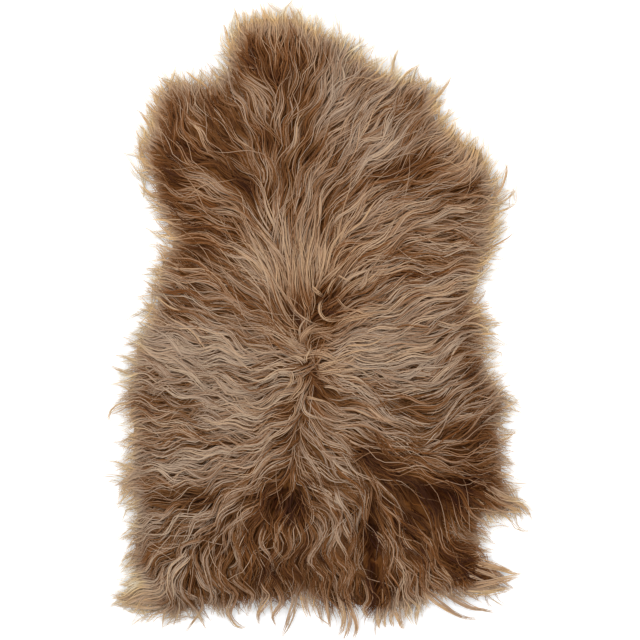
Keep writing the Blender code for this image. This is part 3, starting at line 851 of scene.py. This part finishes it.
def rimBlend(tone, xy):  # tan near the wool's edge, and cream at it
    near, x, y = pastEdge(xy), xy[..., 0], xy[..., 1]
    tone = np.minimum(tone, rimTones["most"])
    edge = ramp(near, rimTones["from"], rimTones["over"])
    bottom = ramp(-y, 360, 80) * ramp(x, -280, 80)  # but for its left corner
    paler = rimTones["neckPaler"] * ramp(y, 280, 120) - rimTones["rumpDarker"] * bottom
    cream = rimTones["cream"] * ramp(near, rimTones["creamFrom"], rimTones["creamOver"])
    own = rimTones["own"] * (tone - rimTones["middle"])
    return tone * (1 - edge) + (rimTones["tan"] + paler + cream + own) * edge


def onlyPale(xy):  # what the paler patches add: paler tone, partly painted light in the gaps
    return np.maximum(patchHere(xy), 0)


def finer(xy, less):  # hairs are thinner near the wool's edge
    return 1 - less * ramp(pastEdge(xy), -60, 50)[:, None]


def taper(s, tips=None, start=0.6, point=0.12):  # a hair's width along it, full for longer near the edge
    full = 0.5 if tips is None else 0.5 + 0.3 * ramp(pastEdge(tips), -25, 25)[:, None]
    return (start + (1 - start) * smooth(s / 0.3)) * (1 - (1 - point) * ramp(s, full, 1 - full))


def widths(style, s, count, rng, tips=None):  # of each hair at each of its points
    return style["hairWidth"] * rng.uniform(*style["widths"], (count, 1)) * taper(s, tips)


def ripples(s, turns, count, rng):  # a small wave of each hair's own
    return np.sin(s * rng.uniform(*turns, (count, 1)) + rng.uniform(0, 6.3, (count, 1)))


def asHairs(xy, height, width, tone, along, rng, least=1.0, roll=0.5):  # what bladeMesh takes
    count = len(xy)
    return {
        "centre": np.concatenate([xy, np.maximum(height, least)[..., None]], -1),
        "width": width, "roll": rng.uniform(-roll, roll, count),
        "tone": tone, "along": np.repeat(along, count, 0),
    }


fleece = {
    "seed": 3,
    "spacing": 15.1,  # between the middles of neighbouring wisps
    "within": 22,  # how far inside the wool's edge they stay
    "thinner": (1.7, 0.25),  # how fast they grow fewer in the dark patches, and the fewest
    "hairs": (3, 8),  # in the thinnest and the fullest wisp
    "length": 142.0,
    "lengths": (0.65, 1.25),  # shares of it
    "rootShare": 0.45,  # of its length that lies before its middle
    "lean": 9, "ownLean": 6,  # how far it may turn from the comb
    "tipPast": (-6, 27),  # how far past the wool's edge its tips end at most
    "hairWidth": 1.3, "widths": (0.65, 1.2),
    "wispWidth": 6.5,  # half of it, at the roots
    "fullness": (0.6, 1.35),
    "pointed": 0.88,  # how much narrower it is at its tip
    "starts": (0, 0.12), "ends": (0.72, 1.0),  # where along it the hairs start and end
    "strays": 0.14, "astray": 6.5, "loose": 1.5,  # the share of hairs that leave it, and how far
    "turns": (5, 11), "ripple": (0.3, 1.3),
    "lay": 7.0,  # how far one wisp may lie above another
    "sink": 9.0,  # of the roots under the surface
    "droop": 3.0,  # of the tips
    "least": 1.2,  # the lowest height
    "points": 10,
    "pale": 0.77,  # the tone of the pale hairs
    "brown": 0.53,
    "paleShares": (0.26, 0.42, 1.5, 0.2),  # of pale hairs: everywhere, and more by height (painted light and shade: wisps lying higher are paler, lower ones browner), patch, place
    "paleLimits": (0.04, 0.92),
    "wispTones": (0.06, 0.05, 0.055),  # how far wisps differ: broadly, finely and by chance
    "softer": (0.35, 120, 120),  # how much more alike the neck's hairs are, and from where over what span
}


def growFleece():
    rng = np.random.default_rng(fleece["seed"])
    middle = places(fleece["spacing"], rng, fleece["within"])
    rate, fewest = fleece["thinner"]
    middle = middle[rng.random(len(middle)) < np.clip(1.0 + rate * patchHere(middle), fewest, 1)]
    wisps = len(middle)
    path = strokes(fleece, middle, rng, calm(middle))
    count = rng.integers(*fleece["hairs"], wisps)
    broad, fine, chance = fleece["wispTones"]
    wispTone = broad * toneField(middle) + fine * fineTone(middle) + rng.normal(0, chance, wisps)
    high = rng.uniform(0, 1, wisps) ** 1.4
    softer, start, span = fleece["softer"]
    even = 1 - softer * ramp(middle[:, 1], start, span)
    lay = high * fleece["lay"] * even
    base, byHeight, byPatch, byPlace = fleece["paleShares"]
    # painted light and shade: wisps that lie higher are more often pale, lower ones brown
    paleShare = base + byHeight * high + byPatch * patchHere(middle) + byPlace * toneField(middle)
    paleShare = np.clip(paleShare, *fleece["paleLimits"])
    fullness = rng.uniform(*fleece["fullness"], wisps)

    wisp = np.repeat(np.arange(wisps), count)
    hairs = len(wisp)
    print("fleece:", wisps, "wisps,", hairs, "hairs")
    across = rng.uniform(-1, 1, hairs)
    ends = rng.uniform(*fleece["ends"], hairs) * (1 - 0.14 * across ** 2)
    starts = rng.uniform(*fleece["starts"], hairs)
    s = np.linspace(0, 1, fleece["points"])[None]
    t = starts[:, None] + s * (ends - starts)[:, None]
    at = sampled(path[wisp], t)
    side = turned(unit(np.gradient(at, axis=1)), np.pi / 2)
    narrowing = 1 - fleece["pointed"] + fleece["pointed"] * (1 - smooth(t)) ** 0.9
    spread = fleece["wispWidth"] * fullness[wisp][:, None] * narrowing
    stray = rng.normal(0, 1, hairs)
    stray = stray * np.where(rng.random(hairs) < fleece["strays"], fleece["astray"], fleece["loose"])
    ripple = ripples(s, fleece["turns"], hairs, rng)
    offset = across[:, None] * spread + stray[:, None] * t ** 1.6
    offset = offset + ripple * rng.uniform(*fleece["ripple"], (hairs, 1)) * smooth(s * 2)
    xy = at + side * offset[..., None]
    rise = smooth(s / 0.28)
    above = lay[wisp][:, None] + (1 - across ** 2)[:, None] * 2.0 + rng.uniform(-1, 2, (hairs, 1))
    height = surface(xy) - fleece["sink"] * (1 - rise) + above * rise - fleece["droop"] * ramp(s, 0.7, 0.3)
    width = widths(fleece, s, hairs, rng, xy[:, -1]) * finer(middle, 0.25)[wisp]
    pale = rng.random(hairs) < paleShare[wisp]
    brown = fleece["brown"] + 0.7 * onlyPale(middle)[wisp]
    # painted light and shade: wisps that lie lower in the coat are browner, those on top paler
    tone = np.where(pale, fleece["pale"], brown) + rng.normal(0, 0.07, hairs) + 0.14 * (high[wisp] - 0.4)
    # painted shade: hairs at a wisp's sides, which lie lower, are a little darker
    tone = 0.6 + (tone - 0.6) * even[wisp] + wispTone[wisp] - 0.05 * np.abs(across)
    tone = rimBlend(tone[:, None] + shading(xy) + 0.1 * (s - 0.5), xy)
    return asHairs(xy, height, width, tone, s, rng, fleece["least"], 0.7), middle[wisp]


down = {  # the softer wool that shows between the wisps
    "seed": 4, "spacing": 11.8, "within": 10, "points": 4,
    "length": 80.0, "lengths": (0.7, 1.2), "rootShare": 0.5, "lean": 9, "ownLean": 12, "tipPast": (2, 24),
    "hairWidth": 1.8, "widths": (0.7, 1.2),
    "under": 3.6,  # the surface
    "sink": 5.0,  # of the roots below that
    "tone": 0.45, "tones": 0.12,  # and how far the hairs' own tones differ from it
}
flyaways = {  # single pale hairs that lie across the others
    "seed": 8, "spacing": 37.0, "within": 12, "points": 10,
    "length": 140.0, "lengths": (0.5, 1.1), "rootShare": 0.5, "lean": 0, "ownLean": 20, "tipPast": (0, 26),
    "hairWidth": 0.8, "widths": (0.8, 1.2),
    "droop": 4, "least": 1.2,
    "tone": 0.88, "tones": 0.06,
}


def singles(style):  # hairs that lie one by one: their chance, middles, the way along them and places
    rng = np.random.default_rng(style["seed"])
    middle = places(style["spacing"], rng, style["within"])
    path = strokes(style, middle, rng)
    s = np.linspace(0, 1, style["points"])[None]
    return rng, middle, s, sampled(path, np.repeat(s, len(middle), 0))


def growDown():
    rng, middle, s, xy = singles(down)
    hairs = len(middle)
    height = surface(xy) - down["under"] - down["sink"] * (1 - smooth(s / 0.3))
    height = height + rng.uniform(-1.5, 2.5, (hairs, 1))
    tone = down["tone"] + 0.05 * toneField(middle) + rng.normal(0, down["tones"], hairs)
    tone = rimBlend((tone + 0.6 * onlyPale(middle))[:, None] + shading(xy), xy)
    width = widths(down, s, hairs, rng, xy[:, -1]) * finer(middle, 0.5)
    return asHairs(xy, height, width, tone, s, rng)


def growFlyaways():
    rng, middle, s, xy = singles(flyaways)
    hairs = len(middle)
    lift = (fleece["lay"] + rng.uniform(-2, 2, (hairs, 1))) * smooth(s / 0.2)
    height = surface(xy) + lift - flyaways["droop"] * s ** 3
    tone = flyaways["tone"] + rng.normal(0, flyaways["tones"], (hairs, 1))
    tone = np.clip(tone + 0.5 * np.minimum(patchHere(xy), 0), 0.3, 1.0)
    width = widths(flyaways, s, hairs, rng)
    return asHairs(xy, height, width, tone, s, rng, flyaways["least"])


fringe = {  # fine wisps that feather the wool's edge
    "seed": 5, "wisps": 1320, "hairs": 5, "points": 5, "hairWidth": 0.65, "widths": (0.6, 1.2),
    "reach": (-3, 30),  # of their tips past the edge
    "length": (36, 62),
}
feather = {  # softer ones under them
    "seed": 15, "wisps": 1400, "hairs": 3, "points": 4, "hairWidth": 1.7, "widths": (0.6, 1.2),
    "reach": (-7, 18), "length": (40, 70),
}
rimLie = {  # what both share
    "outward": 0.6,  # how far they point straight out, not along the comb
    "lean": 0.28, "bend": 0.6, "ownBend": 0.15,
    "apart": 6.0, "close": 1.2,  # the hairs of a wisp, at its root and at its tip
    "turns": (4, 8), "ripple": 1.6,
    "sink": 5, "heights": (-4, 3),
    "tone": 0.6, "tones": 0.1, "ownTones": 0.08,
}


def growFringe(style):
    rng = np.random.default_rng(style["seed"])
    wisps, points = style["wisps"], style["points"]
    index = (np.arange(wisps) + rng.uniform(-1.5, 1.5, wisps)) * len(edgeCurve) / wisps
    index = index.astype(int) % len(edgeCurve)
    tangent = unit(np.roll(edgeCurve, -1, 0) - np.roll(edgeCurve, 1, 0))
    outward = turned(tangent, np.pi / 2)[index]
    low, high = style["reach"]
    far = rng.uniform(0, 1, wisps)
    reach = low + (high - low) * (0.8 * far ** 1.3 + 0.45 * far ** 10)  # few reach far out
    reach = reach + 3.5 * np.maximum(fineTone(edgeCurve[index]), -0.4)
    tip = edgeCurve[index] + outward * reach[:, None]
    way = unit(unit(combed(tip)) + outward * rimLie["outward"])
    way = turned(way, rng.normal(0, rimLie["lean"], wisps))
    length = rng.uniform(*style["length"], wisps)
    bend = rng.normal(0, rimLie["bend"], wisps)

    wisp = np.repeat(np.arange(wisps), style["hairs"])
    hairs = len(wisp)
    s = np.linspace(0, 1, points)[None]
    heading = way[wisp][:, None] * np.ones((1, points, 1))
    bend = bend[wisp][:, None] + rng.normal(0, rimLie["ownBend"], (hairs, 1))
    heading = turned(heading, bend * (s - 0.8) * 1.5)
    step = heading[:, ::-1] * (length[wisp] / (points - 1))[:, None, None]
    back = np.cumsum(np.concatenate([np.zeros((hairs, 1, 2)), step[:, :-1]], 1), 1)[:, ::-1]
    xy = tip[wisp][:, None] - back - way[wisp][:, None] * rng.uniform(0, 10, (hairs, 1, 1))
    side = turned(unit(heading), np.pi / 2)
    across = rng.uniform(-1, 1, (hairs, 1)) * (rimLie["apart"] * (1 - s) + rimLie["close"])
    ripple = ripples(s, rimLie["turns"], hairs, rng)
    xy = xy + side * (across + ripple * s * rimLie["ripple"])[..., None]
    height = surface(xy) - rimLie["sink"] * (1 - s) + rng.uniform(*rimLie["heights"], (hairs, 1))
    tone = rimLie["tone"] + 0.1 * toneField(tip)[wisp] + rng.normal(0, rimLie["tones"], hairs)
    tone = rimBlend(tone[:, None] + patchHere(xy) * 0.6, xy)
    tone = tone + rng.normal(0, rimLie["ownTones"], (hairs, 1))
    return asHairs(xy, height, widths(style, s, hairs, rng), tone, 0.4 + 0.6 * s, rng)


def ledIn(knots, lead, steps=4, steady=0.6):  # with a stretch before them, out of the combed wool
    at, heading = knots[0], unit(knots[0] - knots[1])
    before = []
    for _ in range(steps):
        heading = unit(heading * steady - unit(combed(at)) * (1 - steady))
        at = at + heading * lead / steps
        before.append(at)
    return np.array(before[::-1] + list(knots))


handLaying = {  # what all the wisps along listed places share
    "steps": 33, "turns": (3, 7), "widths": (0.7, 1.15), "sink": 14, "heights": (-1.5, 1.5), "tones": 0.14,
}


def handLaid(rows, style):  # wisps along listed places
    rng = np.random.default_rng(style["seed"])
    made = []
    for row, few, *own in rows:
        count = round(few * style["fuller"])
        knots = np.array(row, float)
        if style["lead"]:
            knots = ledIn(knots, style["lead"])
        t = np.linspace(0, len(knots) - 1, handLaying["steps"])
        low = np.minimum(t.astype(int), len(knots) - 2)
        four = (knots[np.clip(low + n, 0, len(knots) - 1)] for n in (-1, 0, 1, 2))
        line = curved(*four, (t - low)[:, None])
        s = np.linspace(0, 1, style["points"])[None]
        xy = sampled(np.repeat(line[None], count, 0), s * rng.uniform(style["short"], 1.0, (count, 1)))
        side = turned(unit(np.gradient(xy, axis=1)), np.pi / 2)
        across = rng.uniform(-1.1, 1.1, (count, 1)) * (count * (1 - s) ** 0.7 + 0.8)
        ripple = ripples(s, handLaying["turns"], count, rng)
        xy = xy + side * (across * style["apart"] / 2 + ripple * style["stray"] * s)[..., None]
        lift = style["lift"] * smooth(s / 0.3) * (1 - 0.3 * s) - handLaying["sink"] * (1 - smooth(s / 0.22))
        height = surface(xy) + lift + rng.uniform(*handLaying["heights"], (count, 1))
        tone = style["tone"] + sum(own) + rng.normal(0, handLaying["tones"], (count, 1)) + style["paler"] * s
        tone = (np.minimum(tone, 1) + rimBlend(tone, xy)) / 2
        made.append(asHairs(xy, height, widths(handLaying | style, s, count, rng, xy[:, -1]), tone, s, rng))
    return {key: np.concatenate([hair[key] for hair in made]) for key in made[0]}


curlStyle = {
    "seed": 6, "points": 11, "hairWidth": 0.95,
    "lead": 0,  # the length that leads in from the combed wool
    "short": 0.75,  # the shortest hair, as a share of the wisp
    "lift": 13.0, "fuller": 1.0, "apart": 1.2, "stray": 1.2,
    "tone": 0.64, "paler": 0.1,  # and how much paler at the tips
}
lockStyle = {
    "seed": 7, "points": 12, "hairWidth": 1.15, "lead": 0, "short": 0.75,
    "lift": 5.0, "fuller": 1.9, "apart": 1.1, "stray": 1.7, "tone": 0.55, "paler": 0.15,
}
wispStyle = {
    "seed": 9, "points": 9, "hairWidth": 1.0, "lead": 34, "short": 0.8,
    "lift": 2.0, "fuller": 2.5, "apart": 0.6, "stray": 1.6, "tone": 0.68, "paler": 0.2,
}


print("growing the fleece")
# the number after each name is how far painted shade darkens the hairs' roots
wool = woolMaterial("wool", 0.16)
softWool = woolMaterial("softWool", 0.12, roughness=0.7, specular=0.05)
neckLine, rumpLine, backLine = 175, -235, -30  # where the pieces of the fleece part
grown, roots = growFleece()
isNeck, isRump, isLeft = roots[:, 1] > neckLine, roots[:, 1] <= rumpLine, roots[:, 0] < backLine
regions = {
    "fleeceNeck": isNeck,
    "fleeceLeft": ~isNeck & ~isRump & isLeft,
    "fleeceRight": ~isNeck & ~isRump & ~isLeft,
    "fleeceRump": isRump,
}
for name, held in regions.items():
    part = {key: value[held] for key, value in grown.items()}
    addPiece(name, bladeMesh(name, part), wool)
for name, grow, style, material in (
    ("down", growDown, (), softWool),
    ("fringe", growFringe, (fringe,), wool),
    ("feather", growFringe, (feather,), softWool),
    ("flyaways", growFlyaways, (), wool),
    ("partingLocks", handLaid, (curls, curlStyle), wool),
    ("rumpLocks", handLaid, (locks, lockStyle), wool),
    ("rimWisps", handLaid, (rimWisps, wispStyle), wool),
):
    addPiece(name, bladeMesh(name, grow(*style)), material)


# The dense wool under the hairs, as one closed body on the skin, combed in fine ridges

underwool = {
    "around": 460, "rings": 26, "inset": 10.0, "ease": 20, "uneven": 3,  # its rim
    "sink": 7.0, "rimSink": 5.0,  # under the hairs' surface, and how much more near the edge
    "least": 3.9,  # the lowest height of its top
    "seed": 21, "ridge": 2.2, "ridgeLength": 26,
    "tone": 0.4, "tones": 0.1, "most": 0.78,
}


def combedNoise(seed, reach, steps=15):  # noise drawn out along the comb
    rng = np.random.default_rng(seed)
    fine = field(rng.normal(0, 1, gridXY.shape[:2]))
    total = fine(gridXY)
    for way in (1, -1):
        at = gridXY
        for _ in range(steps):
            at = at + unit(combed(at)) * way * reach / steps
            total = total + fine(at)
    return field(total / total.std())


def insetRing(rows, style):  # a closed curve inside another, its corners eased
    ring = closedCurve(rows, style["around"])[:, :2]
    for _ in range(style["ease"]):
        ring = (np.roll(ring, 1, 0) + ring * 2 + np.roll(ring, -1, 0)) / 4
    outward = turned(unit(np.roll(ring, -1, 0) - np.roll(ring, 1, 0)), np.pi / 2)
    return ring - outward * style["inset"]


def shell(ring, rings, topAt, base):  # a closed body within a ring, with its top at topAt
    around = len(ring)
    spread = around // 40  # evens out where its rows start along the parting
    starts = onParting(ring)
    starts = np.mean([np.roll(starts, k, 0) for k in range(-spread, spread + 1)], axis=0)
    shares = np.linspace(0.03, 1, rings)[:, None]
    xy = starts[None] * (1 - shares)[..., None] + ring[None] * shares[..., None]
    top = topAt(xy, shares)
    points = np.concatenate([xy, top[..., None]], -1).reshape(-1, 3)
    points = np.concatenate([points, np.column_stack([ring, np.full(around, base)])])
    index = np.arange((rings + 1) * around).reshape(rings + 1, around)
    after = np.roll(index, -1, 1)
    quads = np.stack([index[:-1], after[:-1], after[1:], index[1:]], -1).reshape(-1, 4)
    mesh = bpy.data.meshes.new("shell")
    faces = quads.tolist() + [index[0].tolist(), index[-1, ::-1].tolist()]
    mesh.from_pydata((points * mm).tolist(), [], faces)
    bm = bmesh.new()
    bm.from_mesh(mesh)
    bmesh.ops.triangulate(bm, faces=[f for f in bm.faces if len(f.verts) > 4])
    bmesh.ops.recalc_face_normals(bm, faces=bm.faces)
    bm.to_mesh(mesh)
    bm.free()
    mesh.shade_smooth()
    return mesh, points


ridges = combedNoise(underwool["seed"], underwool["ridgeLength"])


def underwoolTop(xy, share):
    depth = underwool["sink"] + underwool["rimSink"] * ramp(pastEdge(xy), -65, 45)
    height = surface(xy) - depth + underwool["ridge"] * ridges(xy)
    edge = np.sqrt(np.clip(1 - share ** 18, 0, 1))  # rounded off at its rim
    return np.maximum(underwool["least"], height * edge)


def addUnderwool():
    ring = insetRing(woolEdge, underwool)
    ring = ring + toneField(ring)[:, None] * unit(ring) * underwool["uneven"]
    mesh, points = shell(ring, underwool["rings"], underwoolTop, 0.2)
    xy = points[:, :2]
    tone = underwool["tone"] + underwool["tones"] * ridges(xy) + 0.04 * toneField(xy)
    tone = rimBlend(tone + 0.6 * shading(xy) + 0.6 * onlyPale(xy), xy)
    tone = np.minimum(tone, underwool["most"] + underwool["tones"] * ridges(xy))
    warmth = np.clip(warmHere(xy), -1, 1)
    keepOn(mesh, tone=np.clip(tone, darkest, palest), along=np.ones(len(xy)), warmth=warmth)
    print("underwool", len(mesh.polygons) * 2, "triangles")
    return addPiece("underwool", mesh, woolMaterial("denseWool", 0.0, roughness=0.9, specular=0.05))


print("combing the underwool")
addUnderwool()


# The skin itself: tanned, thin, bare side down

hide = {"around": 300, "rings": 12, "inset": 3.0, "ease": 0, "thickness": 2.0, "sharp": 40}
suede = {
    "roughness": 0.85, "specular": 0.25, "sheen": 0.3, "sheenTint": linear(235, 220, 200),
    "nap": (420.0, 4.0), "blotches": (9.0, 3.0),  # the scale and detail of each noise
    "dark": (0.35, linear(196, 172, 142)), "light": (0.68, linear(222, 204, 178)),
    "rough": 0.35, "napHeight": 0.0006,
}


def suedeMaterial():
    finish = [suede[key] for key in ("roughness", "specular", "sheen", "sheenTint")]
    material, tree, shader = newMaterial("suede", *finish)
    links = tree.links
    place = addNode(tree, "ShaderNodeTexCoord")
    noises = []
    for scale, detail in (suede["nap"], suede["blotches"]):
        noise = addNode(tree, "ShaderNodeTexNoise")
        noise.inputs["Scale"].default_value = scale
        noise.inputs["Detail"].default_value = detail
        links.new(place.outputs["Object"], noise.inputs["Vector"])
        noises.append(noise)
    nap, blotches = noises
    shades = addNode(tree, "ShaderNodeValToRGB")
    for stop, (position, colour) in zip(shades.color_ramp.elements, (suede["dark"], suede["light"])):
        stop.position = position
        stop.color = colour
    links.new(blotches.outputs["Fac"], shades.inputs["Fac"])
    links.new(shades.outputs["Color"], shader.inputs["Base Color"])
    bump = addNode(tree, "ShaderNodeBump")
    bump.inputs["Strength"].default_value = suede["rough"]
    bump.inputs["Distance"].default_value = suede["napHeight"]
    links.new(nap.outputs["Fac"], bump.inputs["Height"])
    links.new(bump.outputs["Normal"], shader.inputs["Normal"])
    return material


def addHide():
    def flatTop(xy, share):
        return np.full(xy.shape[:2], hide["thickness"])

    mesh, _ = shell(insetRing(rim, hide), hide["rings"], flatTop, 0.0)
    mesh.set_sharp_from_angle(angle=math.radians(hide["sharp"]))
    return addPiece("hide", mesh, suedeMaterial())


print("cutting the hide")
hidePiece = addHide()
outline = insetRing(rim, hide) * mm


# Studio

studio = {
    "above": 2.42,  # of the camera over the wool
    "lens": 85.0,
    "middle": (4.7, -8.0),  # under the middle of the picture
    "wool": 10.0,
    "floor": (0.95, 0.95, 0.95, 1), "floorGlow": 0.2,
    "sky": (1.0, 1.0, 1.0, 1), "skyLight": 0.85,
    "lights": {  # place, size and power
        "keyLight": ((-1.3, 1.5, 2.6), 1.6, 50),
        "fillLight": ((1.8, -0.8, 2.4), 2.4, 22),
    },
}


def addStudio():
    bpy.ops.mesh.primitive_plane_add(size=60)
    floor = bpy.context.object
    floor.name = "floor"
    material, _, shader = newMaterial("paleFloor", 0.9, 0.1)
    shader.inputs["Base Color"].default_value = studio["floor"]
    shader.inputs["Emission Color"].default_value = (1.0, 1.0, 1.0, 1)
    shader.inputs["Emission Strength"].default_value = studio["floorGlow"]
    floor.data.materials.append(material)

    camera = bpy.data.objects.new("camera", bpy.data.cameras.new("camera"))
    bpy.context.scene.collection.objects.link(camera)
    bpy.context.scene.camera = camera
    camera.data.lens = studio["lens"]
    x, y = studio["middle"]
    camera.location = (x * mm, y * mm, studio["above"] + studio["wool"] * mm)

    world = bpy.data.worlds.new("studio")
    bpy.context.scene.world = world
    world.use_nodes = True
    background = world.node_tree.nodes["Background"]
    background.inputs["Color"].default_value = studio["sky"]
    background.inputs["Strength"].default_value = studio["skyLight"]

    for name, (place, size, power) in studio["lights"].items():
        light = bpy.data.objects.new(name, bpy.data.lights.new(name, "AREA"))
        bpy.context.scene.collection.objects.link(light)
        light.data.size = size
        light.data.energy = power
        light.location = place
        light.rotation_euler = (-Vector(place)).to_track_quat("-Z", "Y").to_euler()
    bpy.context.scene.view_settings.view_transform = "Standard"


addStudio()
